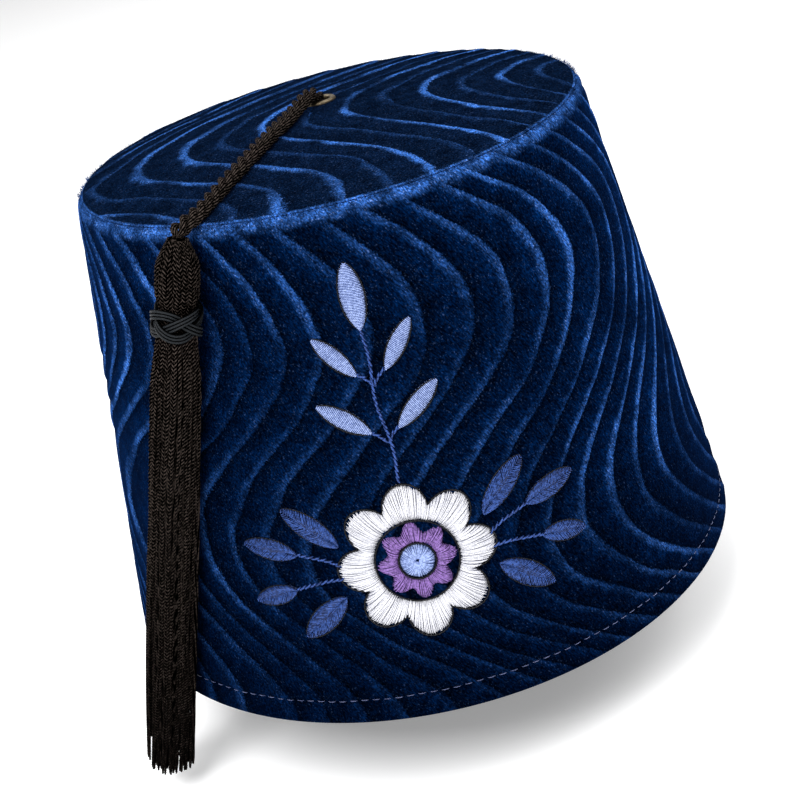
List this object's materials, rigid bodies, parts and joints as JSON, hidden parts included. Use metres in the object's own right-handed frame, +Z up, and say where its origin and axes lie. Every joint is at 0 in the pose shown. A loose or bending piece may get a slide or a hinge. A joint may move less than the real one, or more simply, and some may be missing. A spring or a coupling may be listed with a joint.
{
  "type": "fez hat",
  "caption": "Stiff flat-topped velvet fez hat with a crown eyelet, a corded tassel on one side and a raised stitched flower spray on the front.",
  "frame": {"origin": "centre of the rim plane, where the hat sits on a head", "axes": "+Z up along the axis of the crown, -Y towards the front with the stitched spray, +X to the right seen from the front"},
  "size_m": [0.188, 0.1848, 0.1726],
  "materials": {
    "velvet": "wave-crushed velvet pile over stiff felt",
    "eyelet": "dull antiqued brass",
    "cord": "black-brown twisted rayon cord",
    "band": "smooth dark satin cord",
    "thread_white": "white satin stitch",
    "thread_violet": "violet satin stitch",
    "thread_light_blue": "light blue satin stitch",
    "thread_blue": "mid blue satin stitch"
  },
  "bodies": {
    "root": {"crown_wall": "velvet", "crown_top": "velvet", "eyelet": "eyelet", "cord_stopper": "cord", "tassel_cord": "cord", "tassel": "cord", "tassel_band": "band", "flower_petals": "thread_white", "flower_star": "thread_violet", "flower_button": "thread_light_blue", "bud": "thread_light_blue", "leaf_inner_right": "thread_blue", "leaf_inner_left": "thread_blue", "leaf_outer_right": "thread_blue", "leaf_outer_left": "thread_blue", "leaf_low_right": "thread_blue", "leaf_low_left": "thread_blue", "leaf_end_right": "thread_blue", "leaf_end_left": "thread_blue", "sprig_low_right": "thread_light_blue", "sprig_low_left": "thread_light_blue", "sprig_top_right": "thread_light_blue", "sprig_top_left": "thread_light_blue"}
  },
  "joints": []
}
